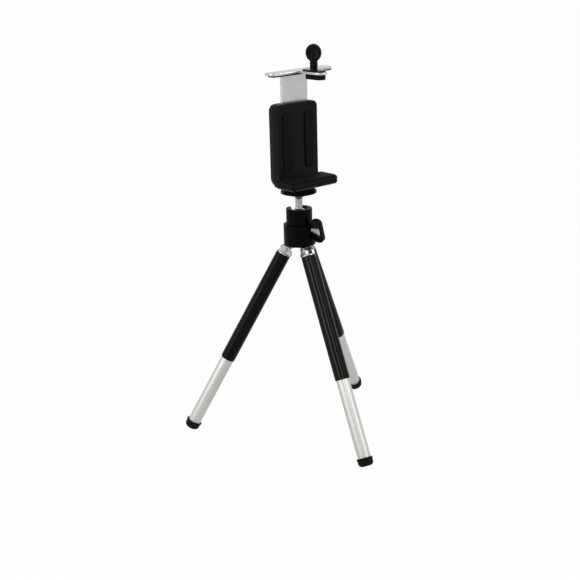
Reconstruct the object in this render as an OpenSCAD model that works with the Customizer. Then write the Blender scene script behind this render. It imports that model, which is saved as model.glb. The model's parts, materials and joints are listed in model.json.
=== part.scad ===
// Small folding tripod with a ball head and a spring clamp for a hand-held device.
// The floor is z = 0, the ball head stands on the Z axis and the clamp's front faces -Y.

/* [Legs] */
// Angle of each leg from the vertical when it is spread
leg_tilt = 28.7; // [20:0.1:34]
// Turn of the three legs about the axis, away from one leg straight in front
leg_turn = -11; // [-30:1:30]
// Distance of each hinge pin from the axis
pivot_r = 9.4; // [8.8:0.1:11]
// From the hinge pin to the end of the outer tube
outer_end = 88.4; // [70:0.1:120]
// Length of the inner tube that shows when it is pulled out
inner_shown = 52.7; // [30:0.1:70]
// Length of the inner tube that stays inside when it is pulled out
inner_hidden = 15; // [10:0.5:20]
// Outer tube diameter
outer_d = 10; // [9.6:0.1:11]
// Outer tube wall
outer_wall = 0.5; // [0.4:0.05:0.6]
// Inner tube wall
inner_wall = 0.4; // [0.3:0.05:0.6]
// Depth of the rolled groove along the tubes
groove_depth = 0.7; // [0.4:0.05:0.8]
// Radius of the groove's round bottom
groove_r = 1.3; // [1:0.1:1.6]
// Angle of the groove round the tube, from the outward side
groove_turn = -35; // [-60:1:60]
// Sliding gap between the tubes
tube_gap = 0.1; // [0.05:0.01:0.1]

/* [Feet] */
// Foot cap diameter at its rim
foot_rim_d = 10.8; // [10.4:0.1:12]
// Foot cap length below the tube's shown end
foot_len = 5.6; // [5:0.1:9]
// Radius of the foot's round bottom edge
foot_round = 2.6; // [2:0.1:3]
// Depth of the tube's seat in the foot cap
foot_seat = 3; // [1.5:0.1:3.2]

/* [Leg hinges] */
// Hinge pin diameter
pin_d = 2; // [1.6:0.1:2.4]
// Thickness of the lug that each pin goes through
lug_w = 2.6; // [2:0.1:3]
// Thickness of each bracket ear
ear_w = 1.9; // [1.4:0.1:2.1]
// Half width of a bracket ear across the leg
ear_half = 3.9; // [3.4:0.1:4.4]
// Half width of a bracket ear on its side towards the axis
ear_in = 5.2; // [4:0.1:5.4]
// Radius of the lug and of the ear round the pin
knuckle_r = 2.5; // [2.3:0.1:2.6]
// From the pin to the shoulder that the outer tube butts on
shoulder_end = 3.5; // [3.5:0.1:6]
// Thickness of that shoulder
shoulder_w = 0.8; // [0.6:0.1:0.8]
// Depth of the bracket's plug in the outer tube
plug_len = 8; // [5:0.5:10]
// Running gap round a pin
pin_gap = 0.06; // [0.03:0.01:0.1]

/* [Hub] */
// Hub diameter
hub_d = 21.4; // [20.8:0.1:24]
// From the hinge pins up to the hub's underside
hub_rise = 3.2; // [3.1:0.1:4.5]
// Hub height
hub_h = 14.2; // [13.5:0.1:18]
// Rounding of the hub's lower edge
hub_round = 1; // [0.5:0.1:2.5]
// Thickness of the hub's floor
hub_floor = 4.3; // [3:0.1:5]
// Radius of the hinge block's middle
block_r = 4.9; // [4:0.1:5]
// Height of the hinge block's middle
block_h = 1.6; // [1.4:0.1:3]
// Screw under the hub, shank diameter
base_screw_d = 3; // [2.5:0.1:3.5]

/* [Ball head] */
// Diameter of the socket housing
housing_d = 17.5; // [17.2:0.1:20]
// Height of the housing above the hub
housing_h = 10.7; // [10.5:0.1:14]
// Diameter of the housing's spigot in the hub
spigot_d = 16; // [15:0.1:16.6]
// Ball diameter
ball_d = 12; // [11:0.1:12.2]
// From the hub's top up to the ball's centre
ball_rise = 5; // [4.8:0.1:6]
// Gap round the ball
ball_gap = 0.3; // [0.2:0.05:0.4]
// Radius of the mouth over the ball
mouth_r = 4.7; // [4.4:0.1:5]
// Width of the notch that lets the stem lie over
notch_w = 8.2; // [7:0.1:8.6]
// Direction of the notch round the axis
notch_turn = 69; // [30:1:90]
// Stem diameter
stem_d = 4.8; // [4:0.1:5.6]
// Diameter of the mounting thread
thread_d = 6.35; // [5.8:0.05:6.35]
// Length of the thread above the plate
thread_len = 5.2; // [4:0.1:5.4]
// Head plate diameter
plate_d = 24; // [20:0.5:30]
// Thickness of the head plate's rim
plate_rim = 1.5; // [1:0.1:2.5]
// Depth of the cone under the head plate
plate_cone = 2.4; // [0.6:0.1:3]
// From the ball's centre to the head plate's top
plate_rise = 17.7; // [17:0.1:22]
// Thickness of the rubber disc on the head plate
plate_pad_h = 1; // [0.6:0.1:1.6]

/* [Lock knob] */
// Direction of the lock screw round the axis
lock_turn = -78; // [-110:1:-40]
// From the hub's top down to the lock screw
lock_drop = 3; // [2.8:0.1:4]
// Lock screw diameter
lock_d = 3; // [2.5:0.1:3.4]
// Distance of the knob's inner face from the axis
knob_start = 11.2; // [11.1:0.1:15]
// Depth of the knob along its screw
knob_depth = 7.8; // [7:0.1:10]
// Length of the knob across its wings
knob_span = 17; // [14:0.5:20]
// Thickness of the wings
knob_w = 4.4; // [3.4:0.1:4.8]
// Diameter of the metal boss at its outer end
boss_d = 6.2; // [5.6:0.1:7]
// Turn of the wings from upright
knob_lean = 12; // [-45:1:45]

/* [Clamp] */
// Opening between the jaws as stored
opening = 67; // [60:0.5:80]
// Travel of the upper jaw either way
jaw_travel = 15; // [10:0.5:15]
// Width of the lower jaw
jaw_w = 39.6; // [37:0.2:60]
// Height of the round boss that lifts the lower jaw off the head plate's pad
jaw_lift = 3.2; // [2.5:0.1:5]
// Height of the lower jaw without its pad
jaw_h = 4.9; // [4.5:0.1:7]
// Distance of the jaw's front edge from the axis
jaw_front = 17.8; // [14:0.1:20]
// Distance of the clamp's front wall from the axis
wall_front = 0.8; // [0.5:0.1:1.4]
// Width of the clamp's upright body
body_w = 34; // [32:0.5:42]
// Thickness of the upright body without its cover
body_t = 7.8; // [7.6:0.1:9]
// Height of the upright body above the jaw
body_h = 49; // [45:0.5:50]
// Thickness of the rubber pads
pad_t = 1; // [0.8:0.1:1.4]
// Thickness of the back cover
cover_t = 1.6; // [1.2:0.1:2.5]
// Thickness of the sliding plate
slide_t = 1.4; // [1:0.1:1.6]
// Width of the sliding plate's upright
slide_w = 22; // [18:0.5:24]
// Width of the upper jaw across its wings
wing_w = 52.2; // [44:0.2:60]
// Depth of the wings from back to front
wing_depth = 11; // [9:0.1:11]
// Gap round the sliding plate
slide_gap = 0.15; // [0.1:0.01:0.3]

/* [Hook and thumb screw] */
// Distance of the thumb screw from the axis, to the front
hook_front = 17.4; // [16.5:0.1:22]
// Width of the tongue, and diameter of its round end
tongue_w = 8.4; // [8:0.1:14]
// How far the middle of the tongue's round end lies in front of the screw
tongue_past = 6; // [4:0.1:7]
// Width of the hook block and of its cap
hook_w = 7.2; // [7:0.1:9]
// From the screw to the middle of the round ends of hook block and cap
hook_stretch = 5.6; // [4:0.1:6.5]
// Height of the ribbed hook block
hook_h = 3.4; // [2:0.1:6]
// Length of the hook block behind the screw
hook_back = 4.7; // [3.5:0.1:4.8]
// Travel of the hook block towards the back
hook_in = 5; // [2:0.5:5]
// Travel of the hook block towards the front
hook_out = 2; // [1:0.5:2]
// Thumb screw diameter
thumb_d = 3; // [2.4:0.1:3.4]
// Thickness of the cap over the tongue
cap_h = 1; // [1:0.1:2.5]
// Diameter of the thumb knob's neck
neck_d = 4.6; // [4.4:0.1:7]
// Length of the neck between cap and head
neck_h = 5.4; // [3:0.1:9]
// Height of the thumb knob's head
head_h = 10.8; // [9:0.1:16]
// Width of the thumb knob's head
head_w = 9.6; // [8:0.1:16]
// Thickness of the thumb knob's head
head_t = 3.4; // [3:0.1:4.8]
// Turn of the thumb knob's flat side round its screw
head_turn = 22; // [0:1:180]

/* [Hidden] */
$fn = 64;

// Overrun of a cut past the face it opens
over = 1;
// Gap of parts that are pressed or screwed together
seat_gap = 0.02;

// Leg
outer_r = outer_d / 2;
bore_r = outer_r - outer_wall;
inner_r = bore_r - tube_gap;
groove_at = outer_r - groove_depth + groove_r;
outer_rib_r = groove_r + outer_wall;
inner_groove_r = outer_rib_r + tube_gap;
inner_rib_r = inner_groove_r + inner_wall;
inner_end = outer_end + inner_shown;
bush_head = 3;
bush_len = 5;
foot_flat_r = outer_r - foot_round + tube_gap;
foot_rim_h = 1;
arc_at = inner_end + foot_len - foot_round;
pivot_z = arc_at * cos(leg_tilt) + foot_flat_r * sin(leg_tilt) + foot_round;
leg_step_angle = 120;
leg_angles = [for (i = [0 : 2]) leg_turn - 90 + i * leg_step_angle];

// Hinges
pin_r = pin_d / 2;
ear_gap = 0.12;
ear_out = lug_w / 2 + ear_gap + ear_w;
rivet_r = pin_d * 0.75;
rivet_h = pin_d / 4;
stop_gap = 0.06;
heel_z = hub_rise - stop_gap;
heel_x = knuckle_r * 0.88;
heel_s = (heel_z - heel_x * sin(leg_tilt)) / cos(leg_tilt);
plate_s = shoulder_end - shoulder_w;

// Hub and head
hub_r = hub_d / 2;
hub_z = pivot_z + hub_rise;
hub_top = hub_z + hub_h;
spigot_r = spigot_d / 2;
spigot_z = hub_z + hub_floor;
base_head_h = base_screw_d / 3;
base_head_r = base_screw_d * 0.9;
base_head_z = hub_z - block_h;
housing_r = housing_d / 2;
housing_top = hub_top + housing_h;
housing_floor = 1.5;
ball_r = ball_d / 2;
ball_z = hub_top + ball_rise;
socket_r = ball_r + ball_gap + tube_gap;
mouth_angle = acos(mouth_r / (ball_r + ball_gap));
mouth_flare = 1.3;
edge_round = 0.5;
seat_z = spigot_z + housing_floor;
seat_h = 9;
stem_r = stem_d / 2;
plate_r = plate_d / 2;
plate_top = ball_z + plate_rise;
flare_h = 2.4;
plate_pad_r = plate_r - plate_rim;
thread_r = thread_d / 2;
flare_r = thread_r * 1.04;

// Lock knob
lock_r = lock_d / 2;
lock_z = hub_top - lock_drop;
lock_tip = socket_r + ball_gap;
knob_end = knob_start + knob_depth;
boss_start = knob_start + knob_depth * 0.1;
boss_end = knob_end - knob_depth * 0.16;
boss_r = boss_d / 2;

// Clamp
jaw_z = plate_top + plate_pad_h;
jaw_base = jaw_z + jaw_lift;
jaw_top = jaw_base + jaw_h;
boss_inset = 1;
boss_flat_r = plate_pad_r - boss_inset;
rest_z = jaw_top + pad_t;
grip_z = rest_z + opening;
slide_bottom = grip_z + pad_t;
slide_top = slide_bottom + slide_t;
body_top = jaw_top + body_h;
body_back = body_t - wall_front;
jaw_corner = 2.2;
jaw_facet = 1;
body_corner = 4;
insert_r = 4.6;
insert_cover = 0.6;
insert_h = thread_len - plate_pad_h + insert_cover;
slide_y = wall_front * 2;
slide_hold = 11;
slide_low = body_top - jaw_travel - slide_hold;
bend_r = 2;
pocket_floor = 2;
pocket_z = jaw_top + pocket_floor;
pocket_drop = 6;
pocket_top = body_top - pocket_drop;
cover_low = jaw_base + jaw_facet + seat_gap;
spring_x = 6.6;
spring_r = 1.7;
spring_wire = 0.5;
spring_y = slide_y + slide_t + spring_r + ball_gap;
slide_hook_z = slide_low + 2 * spring_r;
post_h = 2.4;
screw_r = 1.2;
screw_inset = 3.4;
screw_x = body_w / 2 - screw_inset;
rib_gap = 1.1;
rib_depth = pad_t / 2;

// Hook and thumb screw
tongue_r = tongue_w / 2;
hook_screw_r = thumb_d / 2;
slot_r = hook_screw_r + slide_gap;
hook_r = hook_w / 2;
neck_z = slide_top + cap_h;
head_z = neck_z + neck_h;

function arc(cx, cy, r, a0, a1, n = 12) =
    [for (i = [0 : n]) let (a = a0 + (a1 - a0) * i / n) [cx + r * cos(a), cy + r * sin(a)]];

// Rectangle with rounded corners, centred on x, from y0 to y1
module rounded_bar(w, y0, y1, r) {
    for (s = [-1, 1], y = [y0 + r, y1 - r]) translate([s * (w / 2 - r), y]) circle(r);
    translate([-w / 2, y0 + r]) square([w, y1 - y0 - 2 * r]);
    translate([-w / 2 + r, y0]) square([w - 2 * r, y1 - y0]);
}

// Leg frame: the pin is the origin, +Z runs up along the leg and +X is its outward side
module on_leg(i) {
    rotate([0, 0, leg_angles[i]])
        translate([pivot_r, 0, pivot_z])
            rotate([0, -leg_tilt, 0])
                children();
}

module groove_disc(r) {
    rotate(groove_turn) translate([groove_at, 0]) circle(r);
}

module inner_outline() {
    difference() {
        circle(inner_r);
        groove_disc(inner_groove_r);
    }
}

module inner_hollow() {
    difference() {
        circle(inner_r - inner_wall);
        groove_disc(inner_rib_r);
    }
}

// Black outer tube of a leg, with its groove rolled in
module leg_outer(i) {
    color("#1c1b1b")
        on_leg(i)
            translate([0, 0, -outer_end])
                linear_extrude(outer_end - shoulder_end)
                    difference() {
                        circle(outer_r);
                        groove_disc(groove_r);
                        difference() {
                            circle(bore_r);
                            groove_disc(outer_rib_r);
                        }
                    }
}

// Bright inner tube that slides in the outer one
module leg_inner(i) {
    color("#c9c9c6")
        on_leg(i)
            translate([0, 0, -inner_end - foot_seat])
                linear_extrude(inner_shown + inner_hidden + foot_seat)
                    difference() {
                        inner_outline();
                        inner_hollow();
                    }
}

// Plastic bush on the inner tube's upper end
module leg_bush(i) {
    color("#3a3a3c")
        on_leg(i)
            translate([0, 0, -outer_end + inner_hidden]) {
                linear_extrude(bush_head) inner_outline();
                translate([0, 0, -bush_len])
                    linear_extrude(bush_len + over)
                        offset(delta = -tube_gap) inner_hollow();
            }
}

// Rubber cap on the foot
module foot_cap(i) {
    side_r = foot_flat_r + foot_round;
    rim_r = foot_rim_d / 2;
    depth = foot_len - foot_round;
    color("#191818")
        on_leg(i)
            translate([0, 0, -inner_end])
                rotate_extrude()
                    polygon(concat(
                        [[0, -foot_len]],
                        arc(foot_flat_r, -depth, foot_round, -90, 0),
                        [[rim_r, -foot_rim_h], [rim_r, 0], [inner_r + seat_gap, 0],
                         [inner_r + seat_gap, -foot_seat], [0, -foot_seat]]));
}

// Bright bracket at the top of a leg: two ears on the pin and a plug in the tube
module leg_bracket(i) {
    color("#b9b9b6")
        on_leg(i) {
            difference() {
                for (s = [-1, 1])
                    translate([0, s * (ear_out - ear_w / 2), 0])
                        rotate([90, 0, 0])
                            translate([0, 0, -ear_w / 2])
                                linear_extrude(ear_w)
                                    ear_outline();
                rotate([90, 0, 0])
                    translate([0, 0, -ear_out - over])
                        cylinder(h = 2 * (ear_out + over), r = pin_r + seat_gap);
            }
            translate([0, 0, -shoulder_end]) cylinder(h = shoulder_w, r = outer_r - outer_wall / 2);
            translate([0, 0, -shoulder_end - plug_len])
                linear_extrude(plug_len)
                    offset(delta = -seat_gap)
                        difference() {
                            circle(bore_r);
                            groove_disc(outer_rib_r);
                        }
        }
}

module ear_outline() {
    circle(knuckle_r);
    polygon([[ear_half, 0], [ear_half, -plate_s], [-ear_in, -plate_s], [-ear_in, -plate_s * 0.45],
             [-knuckle_r * 0.7, knuckle_r * 0.7], [0, knuckle_r], [heel_x, heel_s]]);
}

// Riveted hinge pin of a leg
module leg_pin(i) {
    color("#d6d6d4")
        on_leg(i)
            rotate([90, 0, 0])
                for (s = [0, 1])
                    mirror([0, 0, s]) {
                        cylinder(h = ear_out, r = pin_r);
                        translate([0, 0, ear_out]) cylinder(h = rivet_h, r1 = rivet_r, r2 = pin_r);
                    }
}

// Bright block under the hub with a lug for each leg
module hinge_block() {
    color("#a9a9a6")
        difference() {
            union() {
                translate([0, 0, base_head_z]) cylinder(h = block_h, r = block_r);
                for (a = leg_angles)
                    rotate([0, 0, a])
                        translate([0, lug_w / 2, pivot_z])
                            rotate([90, 0, 0])
                                linear_extrude(lug_w) {
                                    translate([pivot_r, 0]) circle(knuckle_r);
                                    translate([pivot_r - knuckle_r, 0])
                                        square([knuckle_r * 1.6, hub_rise]);
                                    polygon([[0, hub_rise - block_h], [pivot_r - knuckle_r, 0],
                                             [pivot_r, hub_rise], [0, hub_rise]]);
                                }
            }
            for (a = leg_angles)
                rotate([0, 0, a])
                    translate([pivot_r, lug_w, pivot_z])
                        rotate([90, 0, 0])
                            cylinder(h = 2 * lug_w, r = pin_r + pin_gap);
            translate([0, 0, pivot_z - over]) {
                cylinder(h = hub_rise + 2 * over, r = base_screw_d / 2 + seat_gap);
                cylinder(h = hub_rise - block_h + base_head_h + over, r = base_head_r + seat_gap);
            }
        }
}

// Screw that holds the hinge block to the hub, with its head sunk in the block
module base_screw() {
    color("#b5b5b2")
        difference() {
            translate([0, 0, base_head_z]) {
                cylinder(h = base_head_h, r = base_head_r);
                cylinder(h = block_h + hub_floor - seat_gap, r = base_screw_d / 2);
            }
            for (a = [0, 90])
                rotate([0, 0, a])
                    translate([-base_screw_d * 0.6, -base_screw_d * 0.1, base_head_z - over])
                        cube([base_screw_d * 1.2, base_screw_d * 0.2, base_head_h * 0.6 + over]);
        }
}

// Black hub that the legs hang from and the ball housing stands in
module hub_body() {
    color("#1a1a1b")
        difference() {
            translate([0, 0, hub_z])
                rotate_extrude()
                    polygon(concat(
                        [[base_screw_d / 2 + seat_gap, 0]],
                        arc(hub_r - hub_round, hub_round, hub_round, -90, 0),
                        arc(hub_r - edge_round, hub_h - edge_round, edge_round, 0, 90, 5),
                        [[spigot_r + seat_gap, hub_h], [spigot_r + seat_gap, hub_floor],
                         [base_screw_d / 2 + seat_gap, hub_floor]]));
            on_lock() cylinder(h = hub_d, r = lock_r + pin_gap);
        }
}

// Lock screw frame: +Z runs out along the screw from the axis
module on_lock() {
    rotate([0, 0, lock_turn]) translate([0, 0, lock_z]) rotate([0, 90, 0]) children();
}

// Ball housing with its spigot, its mouth and the notch for the stem
module socket_housing() {
    color("#202021")
        difference() {
            translate([0, 0, spigot_z])
                rotate_extrude()
                    polygon(concat(
                        [[0, 0], [spigot_r, 0], [spigot_r, hub_top - spigot_z],
                         [housing_r, hub_top - spigot_z]],
                        arc(housing_r - edge_round, housing_top - spigot_z - edge_round, edge_round,
                            0, 90, 5),
                        [[mouth_r + mouth_flare, housing_top - spigot_z],
                         [mouth_r, housing_top - spigot_z - mouth_flare]],
                        arc(0, ball_z - spigot_z, ball_r + ball_gap, mouth_angle, 0, 16),
                        [[socket_r, ball_z - spigot_z],
                         [socket_r, housing_floor], [0, housing_floor]]));
            rotate([0, 0, notch_turn])
                translate([0, 0, ball_z])
                    rotate([90, 0, 90])
                        linear_extrude(housing_r + over) {
                            circle(notch_w / 2);
                            translate([-notch_w / 2, 0]) square([notch_w, housing_h]);
                        }
            on_lock() cylinder(h = hub_d, r = lock_r + pin_gap);
        }
}

// Nylon seat that the lock screw presses against the ball
module ball_seat() {
    color("#d9d6cc")
        difference() {
            translate([0, 0, seat_z]) cylinder(h = seat_h, r = socket_r - tube_gap);
            translate([0, 0, ball_z]) sphere(r = ball_r + ball_gap);
        }
}

// Bright ball with its stem, flare and mounting thread in one turned piece
module ball_stud() {
    flare_top = plate_rise - plate_rim - plate_cone;
    color("#c6c6c4")
        translate([0, 0, ball_z]) {
            sphere(r = ball_r);
            rotate_extrude()
                polygon([
                    [0, 0], [stem_r, 0], [stem_r, flare_top - flare_h], [flare_r, flare_top],
                    [thread_r, flare_top], [thread_r, plate_rise + thread_len - edge_round],
                    [thread_r - edge_round, plate_rise + thread_len], [0, plate_rise + thread_len]]);
        }
}

// Black head plate, conical underneath
module head_plate() {
    color("#1d1d1e")
        translate([0, 0, plate_top])
            rotate_extrude()
                polygon([
                    [thread_r + seat_gap, 0], [plate_r - edge_round, 0], [plate_r, -edge_round],
                    [plate_r, -plate_rim], [flare_r * 1.15, -plate_rim - plate_cone],
                    [thread_r + seat_gap, -plate_rim - plate_cone]]);
}

// Rubber disc between the head plate and the clamp
module plate_pad() {
    color("#141414")
        translate([0, 0, plate_top])
            difference() {
                cylinder(h = plate_pad_h, r = plate_pad_r);
                translate([0, 0, -over]) cylinder(h = plate_pad_h + 2 * over, r = thread_r + seat_gap);
            }
}

// Bright lock screw with the conical boss that the knob is moulded on
module lock_screw() {
    color("#cfcfcd")
        on_lock() {
            translate([0, 0, lock_tip]) cylinder(h = boss_start - lock_tip, r = lock_r);
            translate([0, 0, boss_start]) boss_shape(0);
        }
}

module boss_shape(gap) {
    length = boss_end - boss_start;
    cone = length * 0.75;
    cylinder(h = cone, r1 = lock_r * 1.2 + gap, r2 = boss_r + gap);
    translate([0, 0, cone]) cylinder(h = length - cone, r1 = boss_r + gap, r2 = boss_r * 0.8 + gap);
}

// Two-winged lock knob
module lock_knob() {
    lobe_r = knob_depth * 0.4;
    half = knob_span / 2;
    color("#1b1b1b")
        on_lock()
            rotate([0, 0, knob_lean])
                difference() {
                    hull()
                        for (s = [-1, 1], e = [0, 1])
                            translate([s * (half - lobe_r), 0,
                                       knob_start + (e ? knob_depth - lobe_r : lobe_r)])
                                rotate([90, 0, 0])
                                    translate([0, 0, -knob_w / 2])
                                        wing_disc(lobe_r);
                    translate([0, 0, boss_start]) boss_shape(seat_gap);
                    translate([0, 0, knob_start - over])
                        cylinder(h = boss_start - knob_start + 2 * over, r = lock_r * 1.2 + seat_gap);
                    for (s = [-1, 1])
                        translate([0, s * (knob_w / 2 + boss_r * 0.35), knob_start - over])
                            cylinder(h = boss_end - knob_start + over, r = boss_r * 1.05);
                }
}

// Round of a wing, with its edges broken
module wing_disc(r) {
    cylinder(h = knob_w, r = r - edge_round, $fn = 32);
    translate([0, 0, edge_round]) cylinder(h = knob_w - 2 * edge_round, r = r, $fn = 32);
}

module jaw_outline(inset) {
    rounded_bar(jaw_w - 2 * inset, -jaw_front + inset, -wall_front + over, jaw_corner - inset);
}

// Black clamp body: round boss, lower jaw and the upright with its pocket and slide way
module clamp_body() {
    color("#1b1b1c")
        difference() {
            union() {
                translate([0, 0, jaw_z]) cylinder(h = jaw_lift + jaw_facet, r = boss_flat_r);
                translate([0, 0, jaw_base + jaw_facet]) linear_extrude(jaw_h - jaw_facet) jaw_outline(0);
                hull() {
                    translate([0, 0, jaw_base + jaw_facet]) linear_extrude(edge_round) jaw_outline(0);
                    translate([0, 0, jaw_base]) linear_extrude(edge_round) jaw_outline(jaw_facet);
                }
                translate([0, 0, jaw_base])
                    linear_extrude(jaw_h)
                        rounded_bar(body_w, -jaw_front / 2, body_back, body_corner);
                translate([0, body_back, 0])
                    rotate([90, 0, 0])
                        linear_extrude(body_t)
                            rounded_bar(body_w, jaw_base, body_top, body_corner);
            }
            // Pocket for the springs and the sliding plate, open to the back
            translate([-body_w / 2 + body_corner * 1.3, slide_y - slide_gap, pocket_z])
                cube([body_w - body_corner * 2.6, body_t, pocket_top - pocket_z]);
            // Slide way up through the top wall
            translate([-slide_w / 2 - slide_gap, slide_y - slide_gap, pocket_z])
                cube([slide_w + 2 * slide_gap, slide_t + 2 * slide_gap, body_h + over]);
            translate([0, 0, jaw_z - over]) cylinder(h = insert_h + over, r = insert_r + seat_gap);
            for (s = [-1, 1], z = [pocket_z - 1.5 * screw_r, pocket_top + 2 * screw_r])
                translate([s * screw_x, body_back + over, z])
                    rotate([90, 0, 0])
                        cylinder(h = 4 * screw_r + over, r = screw_r + seat_gap);
        }
}

// Brass insert with the bore for the mounting thread
module thread_insert() {
    color("#b08d4a")
        translate([0, 0, jaw_z])
            difference() {
                cylinder(h = insert_h, r = insert_r);
                translate([0, 0, -over]) cylinder(h = insert_h + 2 * over, r = thread_r + pin_gap);
            }
}

// Ribbed rubber pad on the lower jaw
module lower_pad() {
    w = jaw_w - 2 * pad_t;
    count = 4;
    span = jaw_front - wall_front - 2 * pad_t;
    color("#262627")
        difference() {
            translate([0, 0, jaw_top])
                linear_extrude(pad_t)
                    rounded_bar(w, -jaw_front + pad_t, -wall_front - pad_t, jaw_corner / 2);
            for (i = [1 : count])
                translate([-w, -jaw_front + pad_t + i * span / (count + 1) - rib_gap / 2,
                           jaw_top + rib_depth])
                    cube([2 * w, rib_gap, pad_t]);
        }
}

// Two rubber strips on the upright's front
module back_pads() {
    strip = body_w * 0.22;
    strip_h = body_h - 3 * body_corner;
    color("#262627")
        for (s = [-1, 1])
            translate([s * (body_w / 2 - strip), -wall_front, jaw_top + 1.5 * body_corner])
                rotate([90, 0, 0])
                    linear_extrude(pad_t)
                        rounded_bar(strip, 0, strip_h, strip / 3);
}

// Cover over the pocket
module back_cover() {
    color("#222223")
        difference() {
            translate([0, body_back + cover_t, 0])
                rotate([90, 0, 0])
                    linear_extrude(cover_t)
                        rounded_bar(body_w - 2 * edge_round, cover_low, body_top - edge_round, body_corner);
            for (s = [-1, 1], z = [pocket_z - 1.5 * screw_r, pocket_top + 2 * screw_r])
                translate([s * screw_x, body_back + cover_t + over, z])
                    rotate([90, 0, 0])
                        cylinder(h = cover_t + 2 * over, r = screw_r + seat_gap);
        }
}

// Four small screws in the back cover
module cover_screws() {
    cap_h = screw_r / 2;
    color("#8f8f8c")
        for (s = [-1, 1], z = [pocket_z - 1.5 * screw_r, pocket_top + 2 * screw_r])
            translate([s * screw_x, body_back + cover_t, z])
                difference() {
                    union() {
                        rotate([90, 0, 0]) cylinder(h = cover_t + 3 * screw_r, r = screw_r);
                        rotate([-90, 0, 0]) cylinder(h = cap_h, r = screw_r * 1.7);
                    }
                    translate([-screw_r, cap_h * 0.4, -screw_r * 0.15])
                        cube([2 * screw_r, cap_h, screw_r * 0.3]);
                }
}

module tongue_outline() {
    length = hook_front + tongue_past;
    translate([0, -length]) circle(tongue_r);
    translate([-tongue_r, -length]) square([tongue_w, length]);
}

// Bright sliding plate: upright, wings and a tongue with the slot for the thumb screw
module slide_plate() {
    back_y = slide_y + slide_t;
    color("#d8d8d6") {
        translate([0, 0, slide_bottom])
            linear_extrude(slide_t)
                difference() {
                    union() {
                        rounded_bar(wing_w, back_y - wing_depth, back_y - bend_r / 2, wing_depth / 3);
                        tongue_outline();
                        translate([-slide_w / 2, -bend_r]) square([slide_w, back_y]);
                    }
                    for (y = [-hook_out, hook_in]) translate([0, y - hook_front]) circle(slot_r);
                    translate([-slot_r, -hook_front - hook_out]) square([2 * slot_r, hook_in + hook_out]);
                }
        // Bend from the wings to the upright
        translate([-slide_w / 2, back_y - bend_r, slide_top - bend_r])
            rotate([90, 0, 90])
                linear_extrude(slide_w)
                    difference() {
                        intersection() {
                            circle(bend_r);
                            square(bend_r);
                        }
                        circle(bend_r - slide_t);
                    }
        // Upright, with an ear on each side that a spring hooks on
        translate([-slide_w / 2, slide_y, slide_low])
            cube([slide_w, slide_t, slide_top - bend_r - slide_low]);
        for (s = [-1, 1])
            translate([s * spring_x, back_y, slide_hook_z])
                rotate([-90, 0, 0])
                    cylinder(h = post_h, r = spring_r / 2);
    }
}

// Rubber pad under the wings
module wing_pad() {
    color("#262627")
        translate([0, 0, grip_z])
            linear_extrude(pad_t)
                rounded_bar(wing_w - 2 * pad_t, slide_y - wing_depth + 2 * pad_t, -pad_t, pad_t * 1.5);
}

// Ribbed block under the tongue that hooks over the device's front
module hook_block() {
    rib = 0.4;
    pitch = 2;
    count = 4;
    side_count = floor((hook_stretch + hook_back) / pitch);
    r = hook_r - rib;
    color("#181818")
        translate([0, -hook_front, slide_bottom - hook_h])
            difference() {
                union() {
                    translate([0, -hook_stretch, 0]) cylinder(h = hook_h, r = r);
                    translate([-r, -hook_stretch, 0]) cube([2 * r, hook_stretch + hook_back, hook_h]);
                    for (s = [-1, 1], i = [0 : side_count - 1])
                        translate([s * r, -hook_stretch + i * pitch + pitch / 2, 0])
                            cylinder(h = hook_h, r = rib, $fn = 24);
                    for (i = [-count : count])
                        translate([0, -hook_stretch, 0])
                            rotate([0, 0, -90 + i * 90 / count * 0.9])
                                translate([r, 0, 0]) cylinder(h = hook_h, r = rib, $fn = 24);
                }
                translate([0, 0, hook_h * 0.3]) cylinder(h = hook_h, r = hook_screw_r + seat_gap + pin_gap);
            }
}

// Black cap over the tongue, which slides with the hook block
module hook_cap() {
    color("#181818")
        translate([0, -hook_front, slide_top])
            difference() {
                union() {
                    for (s = [-1, 1]) translate([0, s * hook_stretch, 0]) cylinder(h = cap_h, r = hook_r);
                    translate([-hook_r, -hook_stretch, 0]) cube([hook_w, 2 * hook_stretch, cap_h]);
                }
                translate([0, 0, -over])
                    cylinder(h = cap_h + 2 * over, r = hook_screw_r + seat_gap + pin_gap);
            }
}

// Steel shank of the thumb screw
module thumb_screw() {
    top = neck_z + neck_h / 2;
    bottom = slide_bottom - hook_h * 0.6;
    color("#c4c4c2")
        translate([0, -hook_front, bottom])
            cylinder(h = top - bottom, r = hook_screw_r);
}

// Black thumb knob: neck and flattened head
module thumb_knob() {
    side = head_w / 2;
    color("#161616")
        translate([0, -hook_front, 0])
            difference() {
                union() {
                    translate([0, 0, neck_z]) cylinder(h = neck_h + head_t / 2, r = neck_d / 2);
                    translate([0, 0, head_z + head_h / 2])
                        rotate([0, 0, head_turn])
                            rotate([0, 90, 0])
                                scale([head_h / head_w, 1, 1])
                                    translate([0, 0, -head_t / 2])
                                        rotate_extrude()
                                            polygon([
                                                [0, 0], [side * 0.78, 0], [side, head_t * 0.3],
                                                [side, head_t * 0.7], [side * 0.78, head_t], [0, head_t]]);
                }
                translate([0, 0, neck_z - over]) cylinder(h = neck_h / 2 + over, r = hook_screw_r + seat_gap);
            }
}

// Pull spring from the sliding plate's hook down to the pocket's floor
module spring(side) {
    length = slide_hook_z - spring_r - pocket_z;
    color("#b0b0ae")
        translate([side * spring_x, spring_y, pocket_z])
            difference() {
                cylinder(h = length, r = spring_r);
                translate([0, 0, -over]) cylinder(h = length + 2 * over, r = spring_r - spring_wire);
            }
}

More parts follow.
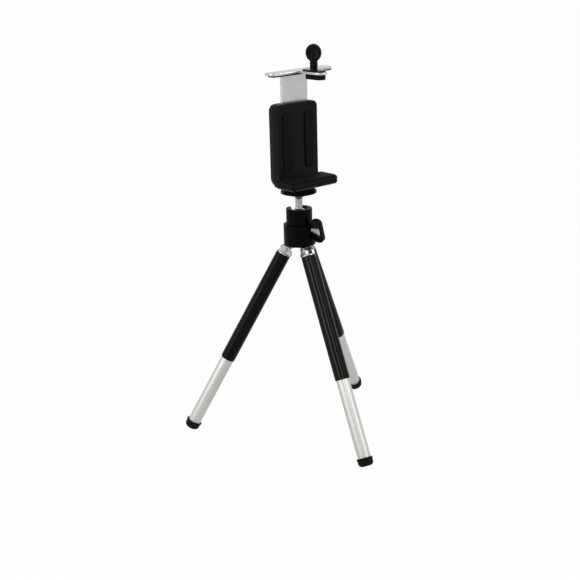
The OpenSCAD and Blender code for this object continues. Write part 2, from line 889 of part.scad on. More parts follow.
hub_body();
hinge_block();
base_screw();
socket_housing();
ball_seat();
ball_stud();
head_plate();
plate_pad();
lock_screw();
lock_knob();
for (i = [0 : 2]) {
    leg_bracket(i);
    leg_pin(i);
    leg_outer(i);
    leg_inner(i);
    leg_bush(i);
    foot_cap(i);
}
clamp_body();
thread_insert();
lower_pad();
back_pads();
back_cover();
cover_screws();
slide_plate();
wing_pad();
hook_block();
hook_cap();
thumb_knob();
thumb_screw();
spring(-1);  // spring_left
spring(1);  // spring_right
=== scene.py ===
# %% [markdown]
# # A small tripod with a ball head and a device clamp
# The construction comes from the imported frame: every node is already in its place, in metres.
# This lesson gives each part its real surface. Round parts are turned profiles, pressed and moulded
# parts are outlines carried through a profile of insets, and every finish is made of shader nodes.

# %% Load the frame
import json
import math

import bmesh
import bpy
import numpy as np
from mathutils import Matrix, Vector


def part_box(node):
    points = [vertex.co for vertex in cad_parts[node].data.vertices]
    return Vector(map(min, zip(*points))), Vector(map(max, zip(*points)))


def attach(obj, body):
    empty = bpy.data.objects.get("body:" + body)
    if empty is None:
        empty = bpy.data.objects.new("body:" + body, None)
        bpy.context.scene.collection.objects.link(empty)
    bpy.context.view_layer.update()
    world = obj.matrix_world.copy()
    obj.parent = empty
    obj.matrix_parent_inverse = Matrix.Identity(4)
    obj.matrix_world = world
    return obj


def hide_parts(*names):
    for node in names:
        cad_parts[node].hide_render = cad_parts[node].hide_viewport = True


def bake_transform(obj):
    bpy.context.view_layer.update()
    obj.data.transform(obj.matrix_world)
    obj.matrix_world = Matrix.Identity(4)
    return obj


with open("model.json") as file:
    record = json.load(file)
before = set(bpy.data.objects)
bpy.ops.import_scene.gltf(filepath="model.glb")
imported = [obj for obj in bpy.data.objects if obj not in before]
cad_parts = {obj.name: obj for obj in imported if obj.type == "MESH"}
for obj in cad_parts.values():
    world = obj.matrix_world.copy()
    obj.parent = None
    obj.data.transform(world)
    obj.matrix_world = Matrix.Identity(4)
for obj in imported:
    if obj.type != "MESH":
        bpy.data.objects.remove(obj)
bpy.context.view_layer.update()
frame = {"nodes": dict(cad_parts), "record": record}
nodes = frame["nodes"]
joints = {j["name"]: j for j in frame["record"]["behaviour"]["joints"]}
MM = 0.001


# %% [markdown]
# ## The places that everything hangs on
# The ball head stands on the Z axis. The joints give the exact hinge pins, the slide directions, the
# ball's centre and the lock screw, so a dressed part can't drift away from its construction.

# %% Driving places
def vec(values):
    """Numbers as a float array."""
    return np.array(values, float)


def corners_of(node):
    """A node's low and high corner, in millimetres."""
    return [vec(corner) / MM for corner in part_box(node)]


def levels_of(node):
    """A node's lowest and highest level, in millimetres."""
    return [corner[2] for corner in corners_of(node)]


ball_centre = vec(joints["ball_tilt"]["pos_m"])
opening = levels_of("wing_pad")[0] - levels_of("lower_pad")[1]
print("ball centre", ball_centre.round(4), "m, opening", round(opening, 1), "mm")


# %% [markdown]
# ## One helper that puts grids of points into a mesh
# Most parts could be built from primitives and modifiers, but a grid keeps the exact sizes in sight. A
# grid is rows of points round a closed ring. Neighbouring rings are joined by quads, and a ring at an
# end is closed by one flat face. A grid whose volume comes out negative is turned inside out.

# %% Grids to meshes
SHARP = 35


def ring_faces(rows, cols, wrap_rows, start):
    """Quads between ring i and ring i+1, and between column j and column j+1 round the ring."""
    last = rows if wrap_rows else rows - 1
    i, j = np.meshgrid(np.arange(last), np.arange(cols), indexing="ij")
    a, b = i * cols, ((i + 1) % rows) * cols
    k = (j + 1) % cols
    return start + np.stack([a + j, a + k, b + k, b + j], -1).reshape(-1, 4)


def volume_sign(grid, wrap_rows):
    """Sign of the volume inside: the sum of p0 dot (p1 cross p2) over all the quads' triangles."""
    points = grid.reshape(-1, 3) - grid.reshape(-1, 3).mean(0)
    quads = ring_faces(grid.shape[0], grid.shape[1], wrap_rows, 0)
    p = points[quads]
    total = np.einsum("ij,ij->i", p[:, 0], np.cross(p[:, 1], p[:, 2])).sum()
    total += np.einsum("ij,ij->i", p[:, 0], np.cross(p[:, 2], p[:, 3])).sum()
    if not wrap_rows:
        for ring, sign in ((points[: grid.shape[1]], 1), (points[-grid.shape[1] :], -1)):
            centre = ring.mean(0)
            fan = np.cross(np.roll(ring, -1, 0), ring)
            total += sign * np.einsum("ij,ij->i", fan, centre[None, :]).sum()
    return 1 if total > 0 else -1


def build(name, grids, sharp=SHARP):
    """One mesh from several grids. Each entry is (points[rows, cols, 3], wrap_rows)."""
    coords, quads, caps = [], [], []
    start = 0
    for grid, wrap in grids:
        rows, cols = grid.shape[:2]
        if volume_sign(grid, wrap) < 0:
            grid = grid[:, ::-1]
        coords.append(grid.reshape(-1, 3))
        quads.append(ring_faces(rows, cols, wrap, start))
        if not wrap:
            caps.append(start + np.arange(cols)[::-1])
            caps.append(start + (rows - 1) * cols + np.arange(cols))
        start += rows * cols
    quads = np.concatenate(quads)
    corners = np.concatenate([quads.ravel()] + caps).astype(np.int32)
    totals = np.concatenate([np.full(len(quads), 4), [len(c) for c in caps]]).astype(np.int32)
    first = np.concatenate([[0], np.cumsum(totals)[:-1]]).astype(np.int32)
    mesh = bpy.data.meshes.new(name)
    mesh.vertices.add(start)
    mesh.vertices.foreach_set("co", np.concatenate(coords).astype(np.float32).ravel())
    mesh.loops.add(len(corners))
    mesh.loops.foreach_set("vertex_index", corners)
    mesh.polygons.add(len(totals))
    mesh.polygons.foreach_set("loop_start", first)
    mesh.polygons.foreach_set("loop_total", totals)
    mesh.polygons.foreach_set("use_smooth", np.ones(len(totals), bool))
    mesh.update(calc_edges=True)
    mesh.validate()
    mesh.set_sharp_from_angle(angle=math.radians(sharp))
    piece = bpy.data.objects.new(name, mesh)
    bpy.context.scene.collection.objects.link(piece)
    return piece


def dress(piece, material, body, slot, *stands_for):
    """Gives a piece its finish, the body that it rides on and the nodes that it stands for."""
    piece.data.materials.clear()
    piece.data.materials.append(material)
    if body:
        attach(piece, body)
    if stands_for:
        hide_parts(*stands_for)
    print(piece.name, len(piece.data.polygons), "faces")
    return piece


def keep(node, material):
    """A node that no piece stands for keeps its own mesh and takes a real finish."""
    for place in nodes[node].material_slots:
        place.material = material
    print("kept", node, len(nodes[node].material_slots), "slot")


# %% [markdown]
# ## Turned profiles and pressed outlines
# A turned part could come from the Screw modifier and a pressed one from Solidify and Bevel. Here a
# turned part is a profile of radius and height swept round its axis, and a pressed or moulded part is a
# closed outline that moves inwards by an inset as it climbs. Every rounded edge is then in the profile,
# with the radius that the real part has, and all lengths can be read in millimetres.

# %% Lathe, prism and arcs
TURN = 96


def arc(centre, radius, start, end, count=8):
    """Points on a circle from one angle to another, in degrees."""
    a = np.radians(np.linspace(start, end, count))
    return np.c_[centre[0] + radius * np.cos(a), centre[1] + radius * np.sin(a)]


def stack(*parts):
    """Points and rows of points as one array."""
    return np.concatenate([np.atleast_2d(vec(p)) for p in parts])


def axes_from(origin, x, z):
    """A local frame: its origin and its three unit axes as rows."""
    z = z / np.linalg.norm(z)
    x = x - z * (x @ z)
    x = x / np.linalg.norm(x)
    return vec(origin), np.stack([x, np.cross(z, x), z])


WORLD = (np.zeros(3), np.eye(3))
AXIS = 0.05  # a turned solid's profile ends this close to its axis, and a flat face closes it


def at(place, local):
    """Local points in the row's frame, in metres; local lengths are in millimetres."""
    return place[0] + (local * MM) @ place[1]


def lathe(place, profile, columns=TURN, squash=1.0):
    """Point (r cos a, squash r sin a, z) for each profile point (r, z) and each angle a."""
    a = np.linspace(0, 2 * np.pi, columns, endpoint=False)
    r, z = profile[:, :1], profile[:, 1:]
    local = np.stack([r * np.cos(a), squash * r * np.sin(a), np.broadcast_to(z, (len(r), columns))], -1)
    return at(place, local), False  # the second value says that the last row doesn't join the first


def inward(outline):
    """Unit normals that point into a closed outline that runs anticlockwise."""
    along = np.roll(outline, -1, 0) - np.roll(outline, 1, 0)
    along /= np.linalg.norm(along, axis=1)[:, None] + 1e-12
    return np.c_[-along[:, 1], along[:, 0]]


def resample(points, count):
    """Equal steps along a closed line of corner and arc points."""
    closed = np.r_[points, points[:1]]
    step = np.r_[0, np.cumsum(np.linalg.norm(np.diff(closed, axis=0), axis=1))]
    want = np.linspace(0, step[-1], count, endpoint=False)
    return np.c_[np.interp(want, step, closed[:, 0]), np.interp(want, step, closed[:, 1])]


def prism(place, outline, profile):
    """The outline moved inwards by each profile point's inset, at that point's height."""
    n = inward(outline)
    rings = [np.c_[outline + inset * n, np.full(len(outline), height)] for inset, height in profile]
    return at(place, np.stack(rings)), False


def soft_edges(low, high, edge, steps=5):
    """Profile of insets from low to high with both edges rounded."""
    a = np.linspace(0, np.pi / 2, steps)
    bottom = np.c_[edge * (1 - np.sin(a)), low + edge * (1 - np.cos(a))]
    top = np.c_[edge * (1 - np.cos(a)), high - edge * (1 - np.sin(a))]
    return np.concatenate([bottom, top])


print("a soft edge from inset and height", soft_edges(0, 2, 0.5, 3).round(2).tolist())

# %% [markdown]
# ## Finishes
# Black lacquer, drawn and plated metal, moulded plastic and rubber could each be a painted texture. They
# are Principled shaders whose colour, roughness and bump vary through noise on Object coordinates, so no
# picture is needed and the grain keeps its real size on every part.

# %% Material helper
BUMP_HEIGHT = 0.00008


def grain_of(tree, place, size, detail):
    """A noise node on Object coordinates."""
    noise = tree.nodes.new("ShaderNodeTexNoise")
    noise.inputs["Scale"].default_value = size
    noise.inputs["Detail"].default_value = detail
    tree.links.new(place.outputs["Object"], noise.inputs["Vector"])
    return noise


def finish(name, color, rough, metallic=0.0, spread=0.15, grain=900.0, bump=0.0, bump_size=2500.0,
           specular=0.5):
    """Colour and roughness are value * (1 - spread .. 1 + spread) by noise; finer noise is the bump."""
    mat = bpy.data.materials.new(name)
    mat.use_nodes = True
    tree = mat.node_tree
    shader = tree.nodes["Principled BSDF"]
    place = tree.nodes.new("ShaderNodeTexCoord")
    noise = grain_of(tree, place, grain, 4.0)
    tint = tree.nodes.new("ShaderNodeValToRGB")
    for stop, position, share in zip(tint.color_ramp.elements, (0.3, 0.7), (1 - spread, 1 + spread)):
        stop.position = position
        stop.color = (*(min(1.0, c * share) for c in color), 1)
    tree.links.new(noise.outputs["Fac"], tint.inputs["Fac"])
    tree.links.new(tint.outputs["Color"], shader.inputs["Base Color"])
    spots = tree.nodes.new("ShaderNodeMapRange")
    spots.inputs["To Min"].default_value = rough * (1 - spread)
    spots.inputs["To Max"].default_value = min(1.0, rough * (1 + spread))
    tree.links.new(noise.outputs["Fac"], spots.inputs["Value"])
    tree.links.new(spots.outputs["Result"], shader.inputs["Roughness"])
    shader.inputs["Metallic"].default_value = metallic
    shader.inputs["Specular IOR Level"].default_value = specular
    if bump:
        fine = grain_of(tree, place, bump_size, 3.0)
        lift = tree.nodes.new("ShaderNodeBump")
        lift.inputs["Strength"].default_value = bump
        lift.inputs["Distance"].default_value = BUMP_HEIGHT
        tree.links.new(fine.outputs["Fac"], lift.inputs["Height"])
        tree.links.new(lift.outputs["Normal"], shader.inputs["Normal"])
    return mat


# %% The black finishes
enamel = finish("black_enamel", (0.0012, 0.0009, 0.0010), 0.38, bump=0.22, bump_size=1300,
                specular=0.04)
lacquer = finish("tube_lacquer", (0.0020, 0.0013, 0.0013), 0.30, spread=0.2, grain=260, bump=0.06,
                 bump_size=900, specular=0.08)
gloss = finish("glossy_plastic", (0.0015, 0.0012, 0.0013), 0.26, spread=0.1, bump=0.08,
               bump_size=1000, specular=0.08)
moulded = finish("moulded_plastic", (0.0026, 0.0021, 0.0022), 0.42, spread=0.12, grain=1800,
                 bump=0.5, bump_size=5200, specular=0.075)
rubber = finish("soft_rubber", (0.0040, 0.0034, 0.0034), 0.66, spread=0.2, grain=1500, bump=0.4,
                bump_size=3800, specular=0.08)
print("black finishes", [m.name for m in (enamel, lacquer, gloss, moulded, rubber)])

# %% The bright finishes
drawn = finish("drawn_tube", (0.52, 0.517, 0.50), 0.50, metallic=1.0, spread=0.05, grain=700,
               bump=0.12, bump_size=1800)
nickel = finish("bright_nickel", (0.34, 0.332, 0.328), 0.26, metallic=1.0, spread=0.06, grain=600,
                bump=0.1, bump_size=1200)
sheet_steel = finish("plated_sheet", (0.50, 0.495, 0.49), 0.32, metallic=1.0, spread=0.05, grain=500,
                     bump=0.1, bump_size=1500)
satin = finish("satin_boss", (0.50, 0.465, 0.445), 0.45, metallic=0.5, spread=0.08, bump=0.1)
zinc = finish("zinc_steel", (0.40, 0.41, 0.42), 0.38, metallic=1.0, spread=0.1, grain=1500, bump=0.2)
nylon = finish("natural_nylon", (0.72, 0.70, 0.63), 0.5, spread=0.04)
brass = finish("turned_brass", (0.70, 0.52, 0.24), 0.3, metallic=1.0, spread=0.08)
print("bright finishes", [m.name for m in (drawn, nickel, sheet_steel, satin, zinc, nylon, brass)])


# %% Painted highlight along the groove's lips
# the paler colour of the painted highlight along the lips
LIP_HIGHLIGHT_COLOR = (0.10, 0.072, 0.064)


def paint_lip_highlights(mat, color):
    """Mixes a paler colour in by a point attribute: a painted highlight along each rolled lip of the
    groove.
    """
    tree = mat.node_tree
    shader = tree.nodes["Principled BSDF"]
    lip_highlight = tree.nodes.new("ShaderNodeAttribute")
    lip_highlight.attribute_name = "lip_highlight"
    mix = tree.nodes.new("ShaderNodeMix")
    mix.data_type = "RGBA"
    tree.links.new(lip_highlight.outputs["Fac"], mix.inputs["Factor"])
    tree.links.new(shader.inputs["Base Color"].links[0].from_socket, mix.inputs["A"])
    mix.inputs["B"].default_value = (*color, 1)
    tree.links.new(mix.outputs["Result"], shader.inputs["Base Color"])


# the black lacquer gets a painted highlight along the groove's lips
paint_lip_highlights(lacquer, LIP_HIGHLIGHT_COLOR)
print("lips shown on", lacquer.name)

# %% [markdown]
# ## The legs
# Each leg is a thin rolled tube with one groove pressed in along it. The groove stiffens the wall and
# keeps the inner tube from turning. A Boolean could cut it, but it would leave sharp lips, and rolled
# lips are soft. So the section is one smooth curve, and all the detail goes round it: along the tube a
# few rings per end are enough.

# %% Leg sizes, in millimetres and measured down from the hinge pin
OUTER_R, INNER_R = 5.0, 4.4
OUTER_WALL, INNER_WALL = 0.5, 0.4
GROOVE_TURN, GROOVE_AT = -35.0, 5.6  # the groove's direction in degrees, and its middle from the axis
OUTER_GROOVE, INNER_GROOVE = 1.3, 1.9
OUTER_BLEND, INNER_BLEND = 0.3, 0.2
OUTER_END, INNER_END, INNER_HIDDEN, FOOT_SEAT = 88.4, 141.1, 15.0, 3.0
SHOULDER_END, PLATE_S = 3.5, 2.7
OUTER_EDGE, OUTER_NOSE, INNER_EDGE, INNER_NOSE = 0.12, 1.1, 0.1, 0.2
# angular width of the painted highlight on each lip
LIP_HIGHLIGHT_WIDTH = math.radians(2.6)
print("outer tube", OUTER_END - SHOULDER_END, "mm long")


def grooved(radius, groove, blend, columns=160):
    """Angles and radii of a round section with a groove: a smooth minimum of circle and groove arc.

    The ray at angle t meets the groove's disc at d cos t - sqrt(g^2 - d^2 sin^2 t). The two radii
    are blended over a small width, which rounds the groove's lips as rolling does.
    """
    even = np.linspace(0, 2 * np.pi, columns, endpoint=False)
    span = math.asin(groove / GROOVE_AT) + 0.04
    fine = np.linspace(-span, span, 45)
    clear = span + 0.02
    far = even[(even > clear) & (even < 2 * np.pi - clear)]
    t = np.sort(np.concatenate([far, fine % (2 * np.pi)]))
    side = GROOVE_AT * np.sin(t)
    inside = (np.abs(side) < groove) & (np.cos(t) > 0)
    reach = GROOVE_AT * np.cos(t) - np.sqrt(np.maximum(groove**2 - side**2, 0))
    reach = np.where(inside, reach, radius + 1)
    h = np.clip(0.5 + 0.5 * (radius - reach) / blend, 0, 1)
    r = radius * (1 - h) + reach * h - blend * h * (1 - h)
    return t + math.radians(GROOVE_TURN), np.where(inside, r, radius)


def wall_section(wall, low, high, edge, nose):
    """Insets and heights once round a wall's section, with small round corners.

    At the low end a quarter ellipse draws the outer face in over the nose's length.
    """
    drawn_in = (wall - edge) * 0.9
    return stack(
        arc((edge, high - edge), edge, 180, 90, 4),
        arc((wall - edge, high - edge), edge, 90, 0, 4),
        arc((wall - edge / 2, low + edge / 2), edge / 2, 0, -90, 4),
        arc((0, 0), 1, -90, -180, 8) * [drawn_in, nose] + [drawn_in, low + nose])


def tube(place, angles, radii, wall, low, high, edge, nose):
    """A wall of even thickness: each point of its section is swept round at r(angle) - inset."""
    inset, z = wall_section(wall, low, high, edge, nose).T[:, :, None]
    r = radii - inset
    return at(place, np.stack([r * np.cos(angles), r * np.sin(angles), z + 0 * r], -1)), True


def mark_lip_highlights(piece, place, groove, width):
    """Point attribute with the painted highlight's weight, exp(-((|t| - lip angle) / width)^2), with t
    from the groove's middle.
    """
    count = len(piece.data.vertices)
    coords = np.empty(count * 3, np.float32)
    piece.data.vertices.foreach_get("co", coords)
    local = (coords.reshape(-1, 3) - place[0]) @ place[1].T
    t = np.arctan2(local[:, 1], local[:, 0]) - math.radians(GROOVE_TURN)
    t = np.abs((t + np.pi) % (2 * np.pi) - np.pi)
    lip_highlight = np.exp(-(((t - math.asin(groove / GROOVE_AT)) / width) ** 2))
    attribute = piece.data.attributes.new("lip_highlight", "FLOAT", "POINT")
    attribute.data.foreach_set("value", lip_highlight.astype(np.float32))


# %% Leg frames
def leg_place(i):
    """The hinge pin is the origin, Z runs up along the leg and X is its outward side."""
    pin = vec(joints[f"leg_fold_{i}"]["pos_m"])
    up = vec(joints[f"leg_slide_{i}"]["axis"])
    return axes_from(pin, np.array([pin[0], pin[1], 0.0]), up * np.sign(up[2]))


legs = {i: leg_place(i) for i in (1, 2, 3)}
print("leg directions", {i: axes[2].round(3).tolist() for i, (_, axes) in legs.items()})

# %% Tubes
outer_section = grooved(OUTER_R, OUTER_GROOVE, OUTER_BLEND)
inner_section = grooved(INNER_R, INNER_GROOVE, INNER_BLEND)
inner_low, inner_top = -INNER_END - FOOT_SEAT, -OUTER_END + INNER_HIDDEN
for i, place in legs.items():
    outer = build(f"outer_tube_{i}", [tube(
        place, *outer_section, OUTER_WALL, -OUTER_END, -SHOULDER_END, OUTER_EDGE, OUTER_NOSE)])
    # weights for the painted highlight along the groove's lips
    mark_lip_highlights(outer, place, OUTER_GROOVE, LIP_HIGHLIGHT_WIDTH)
    dress(outer, lacquer, f"leg_{i}", "black_tube", f"leg_outer_{i}")
    inner = build(f"inner_tube_{i}", [tube(
        place, *inner_section, INNER_WALL, inner_low, inner_top, INNER_EDGE, INNER_NOSE)])
    dress(inner, drawn, f"foot_{i}", "bright_tube", f"leg_inner_{i}")

# %% [markdown]
# ## Feet, brackets and rivets
# A foot is a moulded cap with a rolled-over rim, pushed on the inner tube's end, so it is turned. A
# bracket is a plug with two ears that are blanked from sheet: their outline is what a band stretched
# round a few discs would give, which is easier to fit to the real one than a drawn curve. The pin is a
# rivet with domed heads that stand clear of the ears.


# %% Stretched outline
def band(*discs, count=24):
    """Anticlockwise outline of a band stretched round discs (x, y, r): the convex hull of their rims."""
    points = np.concatenate([arc((x, y), r, 0, 360 - 360 / count, count) for x, y, r in discs])
    points = points[np.lexsort((points[:, 1], points[:, 0]))]

    def half(line):
        """The points of one side of the hull: every turn along them is to the left."""
        kept = []
        for p in line:
            while len(kept) > 1:
                a, b = kept[-1] - kept[-2], p - kept[-1]
                if a[0] * b[1] - a[1] * b[0] > 1e-9:
                    break
                kept.pop()
            kept.append(p)
        return kept[:-1]

    return np.array(half(points) + half(points[::-1]))


def turned(place, *orders):
    """A frame whose x and z axes are picked from another frame's axes, such as turned(p, 'x', '-y')."""
    pick = {}
    for word, key in zip(orders, "xz"):
        row = place[1]["xyz".index(word[-1])]
        pick[key] = -row if word[0] == "-" else row
    return axes_from(place[0], pick["x"], pick["z"])


# %% Foot caps
FOOT_R, FOOT_LONG, SOLE_R, SOLE_ROUND, FOOT_BORE = 5.1, 5.6, 1.2, 2.6, 4.42
RIM_R, RIM_LONG, RIM_ROUND = 5.22, 0.95, 0.18
foot_profile = stack(
    [[AXIS, -FOOT_LONG], [SOLE_R, -FOOT_LONG]],
    arc((FOOT_R - SOLE_ROUND, -FOOT_SEAT), SOLE_ROUND, -88, 0, 12), [[FOOT_R, -RIM_LONG - 0.3]],
    arc((RIM_R, -RIM_LONG), RIM_ROUND, -90, 0, 3), arc((RIM_R, -RIM_ROUND), RIM_ROUND, 0, 90, 4),
    arc((FOOT_BORE + RIM_ROUND, -RIM_ROUND), RIM_ROUND, 90, 180, 4),
    [[FOOT_BORE, -FOOT_SEAT], [AXIS, -FOOT_SEAT]])
for i, (origin, axes) in legs.items():
    foot_place = (origin - axes[2] * INNER_END * MM, axes)
    foot = build(f"foot_{i}", [lathe(foot_place, foot_profile)])
    dress(foot, rubber, f"foot_{i}", "rubber", f"foot_cap_{i}")

# %% Bracket sizes
KNUCKLE_R, EAR_ROUND, EAR_IN, EAR_OUT, EAR_EDGE = 2.5, 0.5, 1.42, 3.32, 0.22
EAR_CORNERS = [(1.93, 1.89), (3.4, -0.16), (3.4, -2.2), (-4.7, -2.2), (-4.7, -1.43)]
SHOULDER_R, SHOULDER_EDGE = 4.75, 0.2
PLUG_R, PLUG_GROOVE, PLUG_BLEND = 4.47, 1.83, 0.2
PLUG_RINGS = vec([[-11.5, 0.94], [-11.1, 1], [-3.49, 1]])  # height, and share of the full radius
ear_line = band((0, 0, KNUCKLE_R), *((*corner, EAR_ROUND) for corner in EAR_CORNERS))
print("ear outline", len(ear_line), "points")

# %% Brackets with their ears, shoulders and plugs
shoulder_low = 0.02 - SHOULDER_END
shoulder_line = soft_edges(shoulder_low, -PLATE_S, SHOULDER_EDGE) * [-1, 1] + [SHOULDER_R, 0]
shoulder_line = stack([[AXIS, shoulder_low]], shoulder_line, [[AXIS, -PLATE_S]])
angles, radii = grooved(PLUG_R, PLUG_GROOVE, PLUG_BLEND)
height, share = PLUG_RINGS.T[:, :, None]
plug = np.stack([radii * np.cos(angles) * share, radii * np.sin(angles) * share, height + 0 * radii], -1)
for i, place in legs.items():
    ears = [prism(turned(place, "x", "-y"), ear_line, soft_edges(low, high, EAR_EDGE))
            for low, high in ((EAR_IN, EAR_OUT), (-EAR_OUT, -EAR_IN))]
    bracket = build(f"bracket_{i}", ears + [lathe(place, shoulder_line), (at(place, plug), False)])
    dress(bracket, sheet_steel, f"leg_{i}", "nickel", f"leg_bracket_{i}")

# %% Riveted pins
PIN_R, HEAD_FOOT, RIVET_R, RIVET_TOP = 1.0, 3.33, 1.45, 3.84
dome = arc((0.55, HEAD_FOOT), 0.95, 8, 70, 6) * [1, 0.52] + [0, 1.6]
head_half = stack([[PIN_R, 3.3], [RIVET_R, HEAD_FOOT]], dome, [[AXIS, RIVET_TOP]])
pin_profile = stack(head_half[::-1] * [1, -1], head_half)
for i, place in legs.items():
    pin = build(f"pin_{i}", [lathe(turned(place, "x", "-y"), pin_profile, 48)])
    dress(pin, nickel, f"leg_{i}", "steel", f"leg_pin_{i}")

# %% [markdown]
# ## Cutting and joining solids
# A notch, a bore or a slot could be drawn into the grid, but a Boolean on a finished solid is shorter,
# and the result is kept as a plain mesh. Moulded parts with many cuts start from a merged copy of their
# construction, whose flat faces are first made whole again, so a small Bevel can round every edge as a
# mould or a press does.


# %% Boolean
def drop(piece):
    """Removes a tool solid with its mesh."""
    mesh = piece.data
    bpy.data.objects.remove(piece)
    bpy.data.meshes.remove(mesh)


def carve(piece, tools, operation="DIFFERENCE"):
    """Applies one Boolean for each tool solid and keeps the result as the piece's mesh."""
    for tool in tools:
        step = piece.modifiers.new("cut", "BOOLEAN")
        step.object = tool
        step.operation = operation
        step.solver = "EXACT"
    bpy.context.view_layer.update()
    graph = bpy.context.evaluated_depsgraph_get()
    result = bpy.data.meshes.new_from_object(piece.evaluated_get(graph))
    old = piece.data
    piece.modifiers.clear()
    piece.data = result
    result.name = piece.name
    bpy.data.meshes.remove(old)
    for tool in tools:
        drop(tool)
    result.set_sharp_from_angle(angle=math.radians(SHARP))


# %% Soft edges and soft copies
MERGE = 2e-6
FLAT = math.radians(0.6)


def soften(piece, width, angle=28):
    """A Bevel along the edges that turn by more than the angle, with flat shading beside them."""
    bevel = piece.modifiers.new("edges", "BEVEL")
    bevel.width = width * MM
    bevel.segments = 2
    bevel.limit_method = "ANGLE"
    bevel.angle_limit = math.radians(angle)
    bevel.harden_normals = True
    return piece


def copy_of(node, name, width):
    """A merged copy of a node with its flat faces made whole, and its edges rounded by a Bevel."""
    work = bmesh.new()
    work.from_mesh(nodes[node].data)
    bmesh.ops.remove_doubles(work, verts=work.verts, dist=MERGE)
    bmesh.ops.dissolve_limit(work, angle_limit=FLAT, verts=work.verts, edges=work.edges)
    for face in work.faces:
        face.smooth = True
    mesh = bpy.data.meshes.new(name)
    work.to_mesh(mesh)
    work.free()
    piece = bpy.data.objects.new(name, mesh)
    bpy.context.scene.collection.objects.link(piece)
    return soften(piece, width)


# %% [markdown]
# ## Hub and ball head
# The hub and the ball housing are turned from bar, so each is a profile swept round Z. The hub's lower
# edge is rounded, and the narrower housing stands in it on a spigot, with a mouth above the ball and one
# notch that lets the stem lie over. The lock screw's bore and the notch are cut, as on the real parts.

# %% Levels and the lock screw's axis
hub_z, hub_top = levels_of("hub_body")
spigot_z, housing_top = levels_of("socket_housing")
ball_z = ball_centre[2] / MM
lock = joints["lock_turn"]
lock_axis = vec(lock["axis"])
lock_axis = lock_axis * np.sign(lock_axis @ vec(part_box("lock_knob")[0]))
lock_place = axes_from([0, 0, lock["pos_m"][2]], np.array([0, 0, -1.0]), lock_axis)
print("hub", round(hub_z, 2), "to", round(hub_top, 2), "housing top", round(housing_top, 2), "mm")


# %% Hub
FINE_TURN = 144
HUB_R, FLOOR_T, BASE_BORE, SPIGOT_BORE = 10.7, 4.3, 1.55, 8.03
LOCK_BORE, BORE_FROM, BORE_TO = 1.58, 2, 14


def rod(place, radius, low, high, columns=48):
    """A tool solid: a plain cylinder from low to high."""
    line = stack([[0.02, low], [radius, low], [radius, high], [0.02, high]])
    return build("tool", [lathe(place, line, columns)])


hub_profile = stack(
    [[BASE_BORE, hub_z + FLOOR_T], [BASE_BORE, hub_z], [7.0, hub_z]],
    arc((HUB_R - 1.0, hub_z + 1.0), 1.0, -90, 0, 8), arc((HUB_R - 0.35, hub_top - 0.35), 0.35, 0, 90, 5),
    arc((SPIGOT_BORE + 0.25, hub_top - 0.25), 0.25, 90, 180, 4), [[SPIGOT_BORE, hub_z + FLOOR_T]])
hub = build("hub", [(lathe(WORLD, hub_profile, FINE_TURN)[0], True)])
carve(hub, [rod(lock_place, LOCK_BORE, BORE_FROM, BORE_TO)])
dress(hub, enamel, "hub", "black_metal", "hub_body")

# %% Ball housing
SPIGOT_R, HOUSING_R, CAVITY_R, WELL_R, SEAT_DEEP = 8.0, 8.75, 6.3, 6.4, 1.5
MOUTH_R, MOUTH_TOP_R, MOUTH_DEEP = 4.7, 6.3, 1.4
mouth_angle = math.degrees(math.acos(MOUTH_R / CAVITY_R))
housing_profile = stack(
    [[AXIS, spigot_z], [SPIGOT_R - 0.3, spigot_z], [SPIGOT_R, spigot_z + 0.3], [SPIGOT_R, hub_top]],
    [[HOUSING_R - 0.2, hub_top], [HOUSING_R, hub_top + 0.2]],
    arc((HOUSING_R - 0.45, housing_top - 0.45), 0.45, 0, 90, 6),
    arc((MOUTH_TOP_R, housing_top - 0.3), 0.3, 90, 140, 4),
    [[MOUTH_R + 0.05, housing_top - MOUTH_DEEP + 0.15], [MOUTH_R, housing_top - MOUTH_DEEP]],
    arc((0, ball_z), CAVITY_R, mouth_angle, 0, 14),
    [[WELL_R, ball_z], [WELL_R, spigot_z + SEAT_DEEP], [AXIS, spigot_z + SEAT_DEEP]])
housing = build("ball_housing", [lathe(WORLD, housing_profile, FINE_TURN)])

# %% The housing's notch
NOTCH_R, NOTCH_TOP, NOTCH_FROM = 4.1, 12.0, 0.3
tilt_axis = vec(joints["ball_tilt"]["axis"])
notch_place = axes_from(ball_centre, tilt_axis, np.array([tilt_axis[1], -tilt_axis[0], 0]))
notch_line = stack(arc((0, 0), NOTCH_R, 180, 360, 25), [[NOTCH_R, NOTCH_TOP], [-NOTCH_R, NOTCH_TOP]])
if notch_place[1][1][2] < 0:
    notch_line = (notch_line * [1, -1])[::-1]
notch = build("tool", [prism(notch_place, notch_line, stack([[0, NOTCH_FROM], [0, NOTCH_TOP]]))])
carve(housing, [notch, rod(lock_place, LOCK_BORE, BORE_FROM, BORE_TO)])
soften(housing, 0.14)
dress(housing, enamel, "hub", "black_metal", "socket_housing")

# %% [markdown]
# ## Ball stud and head plate
# The ball, its stem, its flare and the quarter-inch thread are one bright turned piece. A thread could
# be made with the Screw modifier; here its rings' radius falls and rises with height and angle, which
# winds it once per pitch and lets it fade out at both ends.


# %% Thread
THREAD_R, THREAD_DEEP, PITCH = 3.175, 0.42, 1.27


def threaded(low, high, crest, depth, pitch, columns=48, steps=12):
    """Rings whose radius is crest - depth * |saw(z / pitch - angle / turn)|, tapered off at both ends."""
    z = np.arange(low, high + pitch / steps / 2, pitch / steps)[:, None]
    a = np.linspace(0, 2 * np.pi, columns, endpoint=False)[None, :]
    saw = np.abs(((z / pitch - a / (2 * np.pi)) % 1) * 2 - 1)
    fade = np.clip(np.minimum(z - low, high - z) / pitch, 0, 1)
    r = crest - depth * (1 - fade + fade * np.clip(saw * 1.25 - 0.12, 0, 1))
    return np.stack([r * np.cos(a), r * np.sin(a), np.broadcast_to(z, r.shape)], -1)


print("thread of", THREAD_R * 2, "mm, pitch", PITCH)

